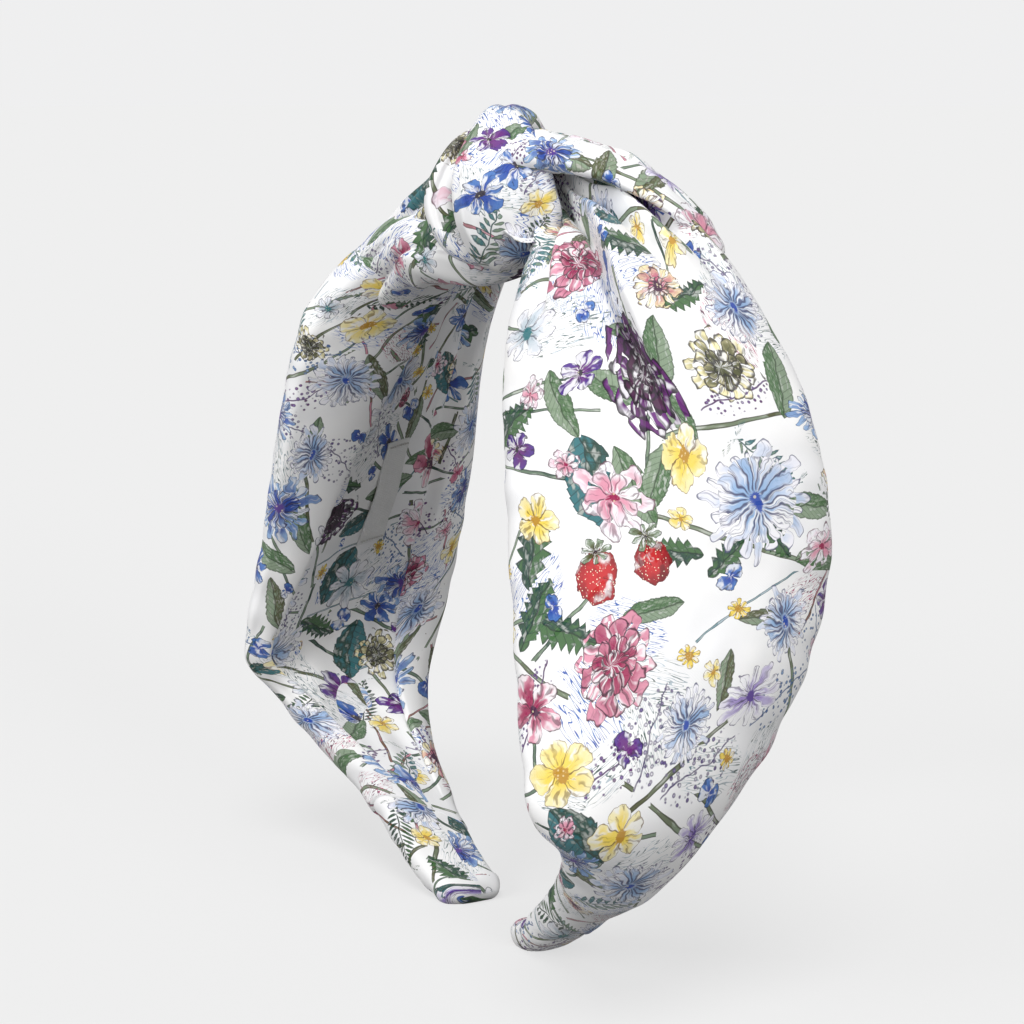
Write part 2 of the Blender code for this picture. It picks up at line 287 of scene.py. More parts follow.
def blend(tree, share, first, second, mode="MIX"):
    """Mix of two colours."""
    node = tree.nodes.new("ShaderNodeMix")
    node.data_type, node.blend_type = "RGBA", mode
    plug(tree, node.inputs[0], share)
    plug(tree, node.inputs[6], first)
    plug(tree, node.inputs[7], second)
    return Value(tree, node.outputs[2])


def attribute(tree, name):
    node = tree.nodes.new("ShaderNodeAttribute")
    node.attribute_name = name
    return Value(tree, node.outputs["Vector"])


def parts(tree, vector):
    node = tree.nodes.new("ShaderNodeSeparateXYZ")
    tree.links.new(vector.socket, node.inputs[0])
    return [Value(tree, out) for out in node.outputs]


def joined(tree, x, y, z):
    node = tree.nodes.new("ShaderNodeCombineXYZ")
    for socket, value in zip(node.inputs, (x, y, z)):
        plug(tree, socket, value)
    return Value(tree, node.outputs[0])


def noise(tree, vector, scale, detail=1.0):
    node = tree.nodes.new("ShaderNodeTexNoise")
    plug(tree, node.inputs["Vector"], vector)
    plug(tree, node.inputs["Scale"], scale)
    plug(tree, node.inputs["Detail"], detail)
    return Value(tree, node.outputs["Fac"])


def cells(tree, vector, scale):
    """Distance from the nearest of the scattered points, and that point's random colour."""
    node = tree.nodes.new("ShaderNodeTexVoronoi")
    plug(tree, node.inputs["Vector"], vector)
    plug(tree, node.inputs["Scale"], scale)
    return Value(tree, node.outputs["Distance"]), Value(tree, node.outputs["Color"])


def material(name):
    mat = bpy.data.materials.new(name)
    mat.use_nodes = True
    return mat, mat.node_tree, mat.node_tree.nodes["Principled BSDF"]


def on_cloth(tree):
    """Place on the flat cloth, in metres."""
    node = tree.nodes.new("ShaderNodeUVMap")
    node.uv_map = "cloth"
    return Value(tree, node.outputs[0])


def bumped(tree, shader, height, strength, distance):
    node = tree.nodes.new("ShaderNodeBump")
    node.inputs["Strength"].default_value = strength
    node.inputs["Distance"].default_value = distance
    plug(tree, node.inputs["Height"], height)
    tree.links.new(node.outputs[0], shader.inputs["Normal"])


def flower(tree, layer):
    """Colour and cover of a painted flower: rings of petals round a heart, inked outlines."""
    x, y, seed = parts(tree, attribute(tree, layer + "_at"))
    petals, rings, centre = parts(tree, attribute(tree, layer + "_form"))
    depth, ink, dots = parts(tree, attribute(tree, layer + "_trim"))
    inner, outer, heart = (attribute(tree, layer + part) for part in ("_inner", "_outer", "_heart"))
    hand = joined(tree, x, y, seed * 3.7)
    wander = noise(tree, hand, 2.2, 2.0)
    wander2 = noise(tree, joined(tree, y, x, seed * 5.1), 2.4, 2.0)
    px, py = x + (wander - 0.5) * 0.42, y + (wander2 - 0.5) * 0.42
    reach = sums(tree, "SQRT", px * px + py * py)
    turn = sums(tree, "ARCTAN2", py, px) * (1 / math.tau)
    ring = sums(tree, "FLOOR", reach * rings)
    step = turn * petals + sums(tree, "FLOORED_MODULO", ring, 2.0) * 0.5 + seed
    index = sums(tree, "FLOOR", step)
    v = sums(tree, "ABSOLUTE", step - index - 0.5) * 2.0
    white = tree.nodes.new("ShaderNodeTexWhiteNoise")
    plug(tree, white.inputs["Vector"],
         joined(tree, sums(tree, "FLOORED_MODULO", index, petals), ring, sums(tree, "FLOOR", seed * 10.0)))
    luck = Value(tree, white.outputs["Value"])
    sharp = v * v
    rim = 1.0 - luck * 0.26 - depth * sharp * v
    edge = rim - reach
    cover = rise(tree, edge, 0.0, ink * 0.7)
    outline = rise(tree, edge, ink * 2.2, ink * 0.6)
    gap = (1.0 - v) * reach * 3.0 / petals
    divide = rise(tree, gap, ink * 1.3, ink * 0.3) * rise(tree, reach, 0.10, 0.2)
    scale = sums(tree, "ABSOLUTE", 1.0 - sharp * 0.5 - (reach * rings - ring))
    scale = rise(tree, scale, ink * rings * 1.4, ink * rings * 0.4) * rise(tree, rings, 1.2, 1.8)
    grain = noise(tree, joined(tree, step * 8.0, reach * 2.5, seed), 1.0, 1.0)
    streak = rise(tree, grain, 0.54, 0.66) * rise(tree, luck + wander, 0.5, 0.9, (0.45, 1.0))
    gleam = noise(tree, joined(tree, step * 3.4, reach * 1.6, seed + 5.0), 1.0, 1.0)
    wash = noise(tree, joined(tree, px, py, seed * 1.7), 3.0, 2.0)
    toward_rim = reach / rim + (wash - 0.5) * 0.8 + (luck - 0.5) * 0.35
    colour = blend(tree, rise(tree, toward_rim, 0.2, 0.95), inner, outer)
    pale = blend(tree, 0.80, colour, (0.86, 0.86, 0.87, 1))
    gleam = gleam + (luck - 0.5) * 0.20 + (wash - 0.5) * 0.4
    colour = blend(tree, rise(tree, gleam, 0.49, 0.64), colour, pale)
    deep = blend(tree, 1.0, blend(tree, 0.65, inner, heart), (0.22, 0.17, 0.25, 1), "MULTIPLY")
    dark = sums(tree, "MAXIMUM", outline * 0.95, sums(tree, "MAXIMUM", divide * 0.9, scale * 0.9))
    dark = sums(tree, "MAXIMUM", dark, streak * 0.62)
    colour = blend(tree, dark, colour, deep)
    middle = rise(tree, reach + (grain - 0.5) * 0.18, centre, centre * 0.8)
    stipple, _ = cells(tree, hand, 9.0)
    speck = rise(tree, stipple, 0.30, 0.18)
    core = blend(tree, speck * 0.55, heart, (0.9, 0.82, 0.5, 1))
    colour = blend(tree, middle, colour, core)
    colour = blend(tree, rise(tree, stipple, 0.26, 0.16) * dots, colour, (0.93, 0.86, 0.66, 1))
    return colour, cover


def leaf(tree, layer):
    """Colour and cover of a leaf, a leafy spray, a head of florets or a bare stem."""
    x, y, seed = parts(tree, attribute(tree, layer + "_at"))
    kind, count, teeth = parts(tree, attribute(tree, layer + "_form"))
    ink, slant, width = parts(tree, attribute(tree, layer + "_trim"))
    light, dark = attribute(tree, layer + "_inner"), attribute(tree, layer + "_outer")
    wander = noise(tree, joined(tree, x, y * 0.3, seed), 1.6, 2.0)
    py = y + (wander - 0.5) * 0.7
    away = sums(tree, "ABSOLUTE", py)
    taper = 1.0 - x * x
    wash = noise(tree, joined(tree, x, y, seed * 2.3), 4.0, 2.0)
    # A single toothed leaf with a rib and slanted veins.
    row = x * count - away * slant
    part = row - sums(tree, "FLOOR", row)
    blade = sums(tree, "POWER", sums(tree, "MAXIMUM", taper, 0.0), 0.8) * (1.0 - teeth * part)
    edge_leaf = (blade - away) * width
    vein = rise(tree, sums(tree, "ABSOLUTE", part - 0.5), 0.40, 0.47)
    rib = rise(tree, away * width, ink * 1.2, ink * 0.4)
    # A spray: leaflets in two staggered ranks on a thin stem.
    rank = x * count * 1.6 - away * slant + sums(tree, "SIGN", py) * 0.25
    place = sums(tree, "ABSOLUTE", rank - sums(tree, "FLOOR", rank) - 0.5)
    span = sums(tree, "MINIMUM", away / (taper * 0.9 + 0.1), 1.0)
    swell = sums(tree, "SINE", span * math.pi) * (0.16 + wash * 0.5)
    edge_spray = (swell - place) / (count * 1.6)
    # A head of florets.
    spot, tint = cells(tree, joined(tree, x * count, y * count * width, seed), 1.0)
    edge_head = (0.42 - spot) / count * rise(tree, blade - away, -0.05, 0.08)
    is_spray, is_head, is_stem, is_pen = (rise(tree, kind, at, at + 0.2) for at in (0.5, 1.5, 2.5, 3.5))
    edge = edge_leaf * (1.0 - is_spray) + edge_spray * is_spray * (1.0 - is_head)
    edge = edge + edge_head * is_head * (1.0 - is_stem) - is_stem
    cover = rise(tree, edge, 0.0, ink)
    stem = rib * rise(tree, taper, 0.0, 0.1) * is_spray * (1.0 - is_stem)
    # A bare stem is a pale line between two dark ones.
    stalk = away * width / ink
    bare = rise(tree, stalk + (wash - 0.5) * 0.5, 1.15, 0.9) * rise(tree, taper, 0.0, 0.04) * is_stem
    # Loose pen strokes: contour lines of a soft field, fading out toward the motif's edge.
    field = noise(tree, joined(tree, x * 0.8, y * width * 5.0, seed), 1.6, 1.0)
    loops = field * count - sums(tree, "FLOOR", field * count)
    pen = rise(tree, sums(tree, "ABSOLUTE", loops - 0.5) + (wash - 0.5) * 0.10, 0.13, 0.07)
    pen = pen * rise(tree, blade - away, 0.0, 0.25) * is_pen
    cover = sums(tree, "MAXIMUM", cover, stem)
    cover = sums(tree, "MAXIMUM", sums(tree, "MAXIMUM", cover, bare * (1.0 - is_pen)), pen)
    shade = rise(tree, wash + sums(tree, "SIGN", py) * 0.10, 0.35, 0.65)
    random_tint, _, _ = parts(tree, tint)
    shade = shade * (1.0 - is_head) + random_tint * is_head
    colour = blend(tree, shade, light, dark)
    pale = blend(tree, 0.6, colour, (0.85, 0.86, 0.82, 1))
    colour = blend(tree, rise(tree, wash, 0.52, 0.70, (0.0, 0.7)), colour, pale)
    lines = sums(tree, "MAXIMUM", vein * (1.0 - is_spray) * 0.5, rise(tree, edge, ink * 2.4, ink) * 0.7)
    spine = sums(tree, "MAXIMUM", rib * (1.0 - is_stem), stem) * 0.75
    sides = rise(tree, stalk + (wash - 0.5) * 0.6, 0.35, 0.8) * is_stem * 0.8 * (1.0 - is_pen)
    lines = sums(tree, "MAXIMUM", sums(tree, "MAXIMUM", lines * (1.0 - is_stem), spine), sides)
    deep = blend(tree, 1.0, dark, (0.30, 0.28, 0.28, 1), "MULTIPLY")
    return blend(tree, lines, colour, deep), cover


def cotton(name):
    """White plain-weave cotton printed with a wild-flower pattern."""
    mat, tree, shader = material(name)
    cloth = on_cloth(tree)
    mottle = noise(tree, cloth, 60.0, 2.0)
    colour = blend(tree, rise(tree, mottle, 0.35, 0.65), (0.85, 0.85, 0.86, 1), (0.90, 0.895, 0.89, 1))
    for layer in LAYERS:
        paint, cover = (leaf if layer in ("stem", "leaf") else flower)(tree, layer)
        colour = blend(tree, cover * 0.96, colour, paint)
    tree.links.new(colour.socket, shader.inputs["Base Color"])
    shader.inputs["Roughness"].default_value = 0.82
    shader.inputs["Specular IOR Level"].default_value = 0.25
    shader.inputs["Sheen Weight"].default_value = 0.12
    shader.inputs["Sheen Roughness"].default_value = 0.5
    u, v, _ = parts(tree, cloth)
    warp = sums(tree, "SINE", u * (math.tau / 0.0005))
    weft = sums(tree, "SINE", v * (math.tau / 0.0005))
    slub = noise(tree, cloth, 900.0, 2.0)
    crease = noise(tree, cloth, 220.0, 3.0)
    height = warp * weft * 0.03 + slub * 0.07 + crease * 0.16
    bumped(tree, shader, height, 0.55, 0.0004)
    return mat


def paint(code):
    """Linear colour of a two-digit-per-channel code."""
    value = np.array([int(code[i:i + 2], 16) for i in (0, 2, 4)]) / 255
    return np.where(value < 0.04045, value / 12.92, ((value + 0.055) / 1.055) ** 2.4)


INK = {name: paint(code) for name, code in {
    "plum": "45183c", "magenta": "96204e", "pink": "d993a8", "rose": "c05c7e", "cobalt": "2345a0",
    "blue": "4a76b8", "sky": "94b4da", "violet": "51318a", "purple": "682577", "lavender": "9a86c6",
    "yellow": "ecd057", "ochre": "b98a2a", "cream": "f0e6b4", "olive": "4c4f26", "green": "42683c",
    "forest": "183f33", "teal": "2f6f76", "sage": "84977e", "red": "c32429", "crimson": "8e1620",
    "brown": "6b4a2c", "white": "f0eef4", "black": "2a2230", "mist": "b9c6cf"}.items()}
LAYERS = ("stem", "leaf", "bloom", "small")
# Flowers: petals, rings, heart size, notch depth, dots, line weight, colours (inner, outer, heart).
FLOWERS = {
    "cone": (8, 7.5, 0.0, 0.40, 0.0, 3.4, "plum", "purple", "black"),
    "clover": (10, 4.0, 0.0, 0.34, 0.0, 1.3, "magenta", "pink", "plum"),
    "thistle": (13, 3.2, 0.12, 0.45, 0.0, 1.4, "violet", "lavender", "black"),
    "cornflower": (14, 2.0, 0.14, 0.55, 0.0, 1.3, "cobalt", "sky", "violet"),
    "sketch": (19, 1.5, 0.12, 0.42, 0.0, 1.5, "sky", "white", "cobalt"),
    "outline": (8, 1.0, 0.18, 0.55, 0.0, 1.3, "mist", "white", "teal"),
    "blush": (7, 1.6, 0.12, 0.55, 0.0, 1.3, "pink", "white", "magenta"),
    "bluebell": (6, 1.0, 0.16, 0.60, 0.0, 1.0, "cobalt", "blue", "black"),
    "violet": (5, 1.0, 0.10, 0.45, 0.0, 1.0, "purple", "violet", "black"),
    "orchid": (5, 1.0, 0.16, 0.55, 0.0, 1.0, "magenta", "pink", "plum"),
    "aster": (12, 1.0, 0.16, 0.55, 0.0, 1.0, "lavender", "white", "violet"),
    "buttercup": (5, 1.0, 0.20, 0.35, 0.0, 0.8, "yellow", "cream", "ochre"),
    "poppy": (4, 1.0, 0.20, 0.30, 0.0, 0.8, "yellow", "cream", "ochre"),
    "seedhead": (11, 4.4, 0.0, 0.50, 0.3, 2.2, "olive", "cream", "black"),
    "scabious": (11, 2.6, 0.20, 0.50, 0.2, 1.4, "rose", "cream", "plum"),
    "berry": (1, 1.0, 0.0, 0.22, 1.0, 0.5, "red", "crimson", "crimson"),
    "calyx": (7, 1.0, 0.10, 0.75, 0.0, 1.0, "olive", "sage", "black"),
    "daisy": (8, 1.0, 0.34, 0.45, 0.0, 0.8, "yellow", "yellow", "ochre"),
    "petal": (2, 1.0, 0.0, 0.70, 0.0, 1.0, "cobalt", "blue", "black"),
    "plumlet": (3, 1.0, 0.0, 0.60, 0.0, 1.0, "purple", "violet", "black"),
    "bud": (3, 1.0, 0.15, 0.60, 0.0, 1.0, "rose", "pink", "magenta")}
# Leaves: kind (leaf, spray, florets, stem), count, teeth, slant, breadth, line weight, colours.
LEAVES = {
    "broad": (0, 5, 0.08, 1.2, 0.62, 1.0, "teal", "forest"),
    "toothed": (0, 4, 0.45, 1.5, 0.50, 1.0, "green", "forest"),
    "soft": (0, 6, 0.06, 2.0, 0.38, 1.0, "sage", "green"),
    "olive": (0, 5, 0.10, 1.8, 0.32, 1.0, "sage", "olive"),
    "fern": (1, 4, 0.0, 1.7, 0.46, 1.0, "green", "forest"),
    "sprig": (1, 3, 0.0, 1.4, 0.50, 1.0, "sage", "teal"),
    "vetch": (1, 3, 0.0, 1.6, 0.44, 1.0, "blue", "cobalt"),
    "pen_blue": (4, 9, 0.0, 1.0, 0.75, 1.0, "blue", "cobalt"),
    "pen_rose": (4, 8, 0.0, 1.0, 0.60, 1.0, "rose", "plum"),
    "pen_grey": (4, 8, 0.0, 1.0, 0.65, 1.0, "mist", "forest"),
    "pen_green": (4, 9, 0.0, 1.0, 0.55, 1.0, "sage", "olive"),
    "heather": (2, 9, 0.0, 1.0, 0.40, 1.0, "lavender", "purple"),
    "lilac": (2, 8, 0.0, 1.0, 0.60, 1.0, "white", "violet"),
    "haze": (2, 8, 0.0, 1.0, 0.55, 1.0, "sky", "blue"),
    "stalk": (3, 3, 0.0, 1.0, 0.20, 2.4, "sage", "olive"),
    "rush": (3, 3, 0.0, 1.0, 0.20, 1.9, "sage", "forest"),
    "twig": (3, 3, 0.0, 1.0, 0.24, 1.6, "pink", "brown"),
    "tendril": (3, 3, 0.0, 1.0, 0.26, 1.2, "mist", "teal")}
# What grows in each layer when nothing else is placed there, with the size range in mm.
WILD = {
    "stem": ((("stalk", 13, 19), ("rush", 12, 18), ("tendril", 10, 16), ("twig", 9, 14), ("pen_blue", 7, 10),
              ("rush", 9, 13), ("stalk", 10, 15), ("pen_grey", 6, 9)), 7.0),
    "leaf": ((("soft", 6, 9), ("toothed", 5, 7), ("broad", 4, 6), ("heather", 7, 10), ("lilac", 6, 9),
              ("sprig", 6, 9), ("olive", 5, 8), ("haze", 6, 9), ("pen_blue", 6, 9), ("pen_grey", 6, 9),
              ("toothed", 5, 8), ("pen_rose", 6, 8), ("soft", 4, 7), ("fern", 6, 8)), 8.4),
    "bloom": ((("cornflower", 6, 9), ("clover", 5, 8), ("cone", 6, 8), ("violet", 4, 6), ("buttercup", 4, 6),
               ("aster", 5, 8), ("seedhead", 5, 6), ("orchid", 5, 7), ("thistle", 5, 7), ("scabious", 4, 6),
               ("bluebell", 4, 7), ("sketch", 7, 10), ("outline", 5, 8), ("blush", 6, 9),
               ("sketch", 6, 9)), 12.4),
    "small": ((("daisy", 1.6, 2.2), ("petal", 2.5, 4), ("plumlet", 2.5, 4), ("bud", 2, 3), ("petal", 2, 3),
               ("buttercup", 2.5, 3.5), ("outline", 3, 4), ("blush", 3, 4)), 11.0)}


def grow(seed, low, high, placed):
    """Motifs for each layer: (name, across, along, size, squash, turn), placed ones first."""
    rng = np.random.default_rng(seed)
    plan = {}
    for layer in LAYERS:
        kinds, spacing = WILD[layer]
        motifs = [list(m) for m in placed.get(layer, ())]
        own = len(motifs)
        for _ in range(int((high[0] - low[0]) * (high[1] - low[1]) / spacing ** 2 * 9)):
            at = rng.uniform(low, high)
            name, small, large = kinds[rng.integers(len(kinds))]
            size = rng.uniform(small, large)
            turn, squash = rng.uniform(0, math.tau), rng.uniform(0.75, 1.0)
            # Placed motifs keep their own room; wild ones keep the layer's spacing.
            room = [0.85 * (m[3] + size) if k < own else spacing for k, m in enumerate(motifs)]
            over = plan.get("bloom", []) if layer == "small" else []
            clear = all(math.hypot(at[0] - m[1], at[1] - m[2]) > m[3] + 0.5 * size for m in over)
            if clear and all(math.hypot(at[0] - m[1], at[1] - m[2]) > r for m, r in zip(motifs, room)):
                motifs.append([name, at[0], at[1], size, squash, turn])
        plan[layer] = motifs
    return plan


def printed(obj, seed, placed={}):
    """Give each face of the cloth the one motif of each layer that falls on it."""
    mesh = obj.data
    uv = np.zeros(len(mesh.loops) * 2)
    mesh.uv_layers["cloth"].data.foreach_get("uv", uv)
    uv = uv.reshape(-1, 2) / MM
    first, total = np.zeros(len(mesh.polygons), int), np.zeros(len(mesh.polygons), int)
    mesh.polygons.foreach_get("loop_start", first)
    mesh.polygons.foreach_get("loop_total", total)
    owner = np.repeat(np.arange(len(first)), total)
    middle = np.add.reduceat(uv, first, axis=0) / total[:, None]
    plan = grow(seed, uv.min(0) - 4, uv.max(0) + 4, placed)
    for layer, motifs in plan.items():
        leafy = layer in ("stem", "leaf")
        best, pick = np.full(len(first), 1.5), np.full(len(first), -1)
        frames = []
        for k, (name, across, along, size, squash, turn) in enumerate(motifs):
            breadth = LEAVES[name][4] if leafy else squash
            # Across grows toward the left of the printed side, so it is turned over here.
            axis = np.array([(-math.cos(turn), math.sin(turn)), (math.sin(turn), math.cos(turn))])
            frame = (np.array([across, along]), axis / np.array([[size], [size * breadth]]))
            local = (middle - frame[0]) @ frame[1].T
            far = np.abs(local).max(1) * 1.25 if leafy else np.hypot(*local.T)
            nearer = far < best
            best[nearer], pick[nearer] = far[nearer], k
            frames.append(frame)
        at = np.full((len(uv), 3), 9.0)
        data = {part: np.zeros((len(first), 3)) for part in ("_form", "_trim", "_inner", "_outer", "_heart")}
        data["_form"][:] = (3, 1, 0.1)
        data["_trim"][:] = (0.3, 0.05, 0.5)
        for k, (name, across, along, size, squash, turn) in enumerate(motifs):
            faces = pick == k
            corners = faces[owner]
            origin, axis = frames[k]
            at[corners, :2] = (uv[corners] - origin) @ axis.T
            at[corners, 2] = (seed * 0.37 + k * 0.618) % 7.3
            if leafy:
                kind, count, teeth, slant, breadth, line, light, dark = LEAVES[name]
                data["_form"][faces] = (kind, count, teeth)
                data["_trim"][faces] = (0.16 * line / size, slant, breadth)
                data["_inner"][faces], data["_outer"][faces] = INK[light], INK[dark]
            else:
                petals, rings, heart_size, depth, dots, line, inner, outer, heart = FLOWERS[name]
                data["_form"][faces] = (petals, rings, heart_size)
                data["_trim"][faces] = (depth, 0.15 * line / size, dots)
                data["_inner"][faces], data["_outer"][faces] = INK[inner], INK[outer]
                data["_heart"][faces] = INK[heart]
        store = mesh.attributes.new(layer + "_at", "FLOAT_VECTOR", "CORNER")
        store.data.foreach_set("vector", at.astype(np.float32).ravel())
        for part, values in data.items():
            if leafy and part == "_heart":
                continue
            store = mesh.attributes.new(layer + part, "FLOAT_VECTOR", "FACE")
            store.data.foreach_set("vector", values.astype(np.float32).ravel())
    mesh.materials.append(PRINT)


PRINT = cotton("printed_cotton")
# Motifs on the outside of the right leg, by layer: name, across, along, size, squash, turn.
DEGREE = math.pi / 180
RIGHT_LEG = {
    "bloom": (("cone", 3.3, 138, 14.5, 0.50, 109 * DEGREE), ("scabious", -6.7, 151, 6.0, 0.8, 0.3),
              ("seedhead", -13.4, 138, 8.0, 0.85, 0.5), ("sketch", -21, 148, 7.5, 0.9, 1.0),
              ("violet", 14.5, 139, 5.6, 0.8, 0.9), ("sketch", -14.5, 116, 11.5, 0.9, 0.9),
              ("clover", 12.0, 91, 9.5, 0.78, 1.2), ("berry", 13.9, 105, 4.6, 0.85, -1.57),
              ("berry", 5.0, 107, 4.4, 0.85, -1.3), ("buttercup", 21.0, 76, 6.2, 0.9, 0.2),
              ("buttercup", 10.5, 67, 6.0, 0.8, 0.8), ("aster", -12.4, 83, 7.5, 0.75, 0.4),
              ("poppy", -2.8, 124, 6.6, 0.62, 1.4), ("cornflower", -30, 132, 8, 0.6, 0.2),
              ("violet", 27, 127, 4.5, 0.8, 0.1), ("poppy", -13.5, 158, 4.6, 0.7, 0.6),
              ("blush", -27, 108, 7.0, 0.6, 0.6), ("outline", 25, 148, 7.0, 0.8, 0.6),
              ("sketch", 1, 172, 8.0, 0.8, 0.6), ("blush", -22, 70, 6.0, 0.8, 0.6)),
    "small": (("calyx", 14.2, 109.0, 3.2, 0.8, 0.2), ("calyx", 5.6, 111.0, 3.2, 0.8, 0.5),
              ("daisy", -9.8, 98, 2.4, 0.9, 0), ("daisy", -0.7, 91, 2.4, 0.9, 0),
              ("petal", -6, 70, 3.4, 0.8, 0.7), ("petal", 7.2, 156, 3.4, 0.8, 1.0)),
    "leaf": (("broad", 13.6, 120.5, 8.0, 1, -80 * DEGREE), ("soft", 6.4, 119, 7.5, 1, -70 * DEGREE),
             ("soft", 2.6, 120, 6.5, 1, -110 * DEGREE), ("toothed", 25.5, 111, 7.5, 1, 80 * DEGREE),
             ("toothed", 25.5, 100, 6.5, 1, 60 * DEGREE), ("toothed", 20.5, 97, 6.5, 1, -20 * DEGREE),
             ("heather", 11.2, 77, 8.5, 1, 0.5), ("lilac", 6.0, 80, 8.0, 1, 1.2),
             ("lilac", -3.2, 74, 8.0, 1, 0.4), ("heather", 26, 86, 7.5, 1, 1.2),
             ("broad", 17.7, 66, 7.0, 1, -40 * DEGREE), ("haze", -20, 82, 8.0, 1, 0.5),
             ("soft", 5, 99, 5.5, 1, 10 * DEGREE), ("soft", -3, 140, 6.5, 1, 70 * DEGREE),
             ("pen_grey", 19, 148, 10.0, 1, 10 * DEGREE), ("soft", -2.6, 131, 5.5, 1, -60 * DEGREE)),
    "stem": (("stalk", -11, 109, 20, 1, -18 * DEGREE), ("rush", 3, 126, 15, 1, 80 * DEGREE),
             ("tendril", -14, 100, 14, 1, 30 * DEGREE), ("stalk", -13, 129.5, 17, 1, 10 * DEGREE),
             ("rush", 21, 122, 14, 1, -15 * DEGREE), ("stalk", -20, 90, 14, 1, -70 * DEGREE),
             ("rush", 22, 133, 12, 1, -5 * DEGREE), ("rush", 22, 137.5, 12, 1, 4 * DEGREE),
             ("stalk", -24, 116, 10, 1, 2 * DEGREE), ("twig", -27, 100, 10, 1, 60 * DEGREE))}


# On the left leg the head side of the front edge shows most.
LEFT_LEG = {
    "bloom": (("poppy", 39, 148, 7.0, 0.8, 0.8), ("sketch", 41, 133, 9.0, 0.8, 0.4),
              ("sketch", 38, 116, 7.0, 0.8, 1.4), ("poppy", 33, 63, 7.5, 0.7, -0.6),
              ("cornflower", 24, 31, 8.5, 0.8, 0.3)),
    "leaf": (("soft", 37, 100, 7.0, 1, 1.2), ("soft", 32, 92, 6.0, 1, 0.4),
             ("olive", 34, 82, 6.5, 1, 1.3)),
    "small": (("petal", 31, 71, 4.0, 0.8, 0.4),),
    "stem": (("stalk", 38, 108, 12, 1, 1.4), ("rush", 36, 88, 13, 1, 1.1))}
LEFT_LINING = {
    "bloom": (("orchid", 212, 110, 8.0, 0.7, 1.2), ("blush", 212, 96, 7.5, 0.8, 0.6),
              ("cornflower", 211, 82, 7.5, 0.8, 0.2), ("bluebell", 196, 118, 6.0, 0.6, 1.0),
              ("bluebell", 206, 78, 6.0, 0.6, 0.6), ("violet", 196, 60, 7.0, 0.7, 1.2),
              ("cornflower", 201, 31, 10.0, 0.85, 0.4), ("violet", 207, 56, 5.5, 0.6, 0.3),
              ("bluebell", 212, 146, 6.5, 0.7, 0.3)),
    "leaf": (("broad", 193, 88, 6.5, 1, -1.2), ("broad", 200, 70, 6.5, 1, -1.4),
             ("olive", 203, 122, 6.0, 1, -1.4), ("broad", 211, 132, 6.0, 1, 1.2)),
    "small": (("daisy", 200, 134, 2.2, 0.9, 0), ("daisy", 206, 128, 2.2, 0.9, 0),
              ("daisy", 196, 140, 2.2, 0.9, 0))}
# Each piece of the knot has its own stretch of cloth.
WRAP = {
    "bloom": (("bluebell", -3, 330, 6.5, 0.7, 1.1), ("bluebell", 4, 325, 6.0, 0.7, 0.4),
              ("violet", 2, 336, 4.5, 0.8, 0.3), ("cornflower", -1, 349, 7.0, 0.8, 0.6),
              ("buttercup", -6, 321, 4.5, 0.7, 0.6), ("bluebell", -6, 340, 4.5, 0.6, 2.0)),
    "leaf": (("sprig", 5, 316, 7.0, 1, 1.0), ("soft", 6, 337, 5.0, 1, 1.2),
             ("fern", -3, 314, 6.0, 1, 0.8))}


# ---- cloth surfaces -----------------------------------------------------------------------
def normals(points, wrap):
    """Unit normals of a grid of points, mm."""
    along = np.gradient(points, axis=0)
    if wrap:
        across = (np.roll(points, -1, 1) - np.roll(points, 1, 1)) / 2
    else:
        across = np.gradient(points, axis=1)
    return unit(np.cross(along, across))


def fold(d, deep, reach, groove=0.6):
    """Height of one pleat at signed distance d from its line: the cloth at d > 0 lies on top."""
    step = np.tanh(d / 0.45)
    return deep * step * np.exp(-np.abs(d) / reach) - groove * deep * np.exp(-(d / 0.9) ** 2)


# Pleats that fan out of the knot over the outside of a leg: (share of the leg, place across
# as a share of the half width), from the knot outward, then depth and reach in mm.
PLEATS = ((((1.10, -0.30), (1.00, -0.14), (0.90, -0.13), (0.84, -0.05), (0.76, 0.08)), 4.2, 6.0),
          (((1.10, 0.05), (1.02, 0.28), (0.95, 0.38), (0.88, 0.48), (0.85, 0.52)), 3.4, 5.0),
          (((1.10, 0.30), (1.00, 0.66), (0.95, 0.78), (0.90, 0.80), (0.86, 0.80)), 2.8, 4.5),
          (((1.10, -0.65), (1.00, -0.60), (0.92, -0.66), (0.86, -0.72)), 2.0, 4.0))


def pleated(leg, q):
    share = q / leg.half[:, None]
    total = np.zeros_like(q)
    for line, deep, reach in PLEATS:
        line = np.array(line)[::-1]
        place = np.interp(leg.t, line[:, 0], line[:, 1])
        end = line[0, 0]
        strength = smooth(leg.t, end - 0.01, end + 0.10) * (1 - 0.5 * smooth(leg.t, 1.0, 1.12))
        total += strength[:, None] * fold((share - place[:, None]) * leg.half[:, None], deep, reach)
    return total


TIP_RUN = 23.2     # length of the leg below the cover's end
# How far the cover's rolls stand above the lining panel: (share of the leg, mm).
ROLL = ((0.12, 0.8), (0.35, 1.6), (0.50, 2.6), (0.70, 4.0), (0.90, 4.6), (1.05, 4.0))
LABEL_ACROSS, LABEL_WIDE, LABEL_LONG = -1.0, 7.5, 24.0
LABEL_AT = 0.59    # share of the leg at the label's middle
LABEL_RUN = 79.0   # length of the leg from the cover's end to the label's middle


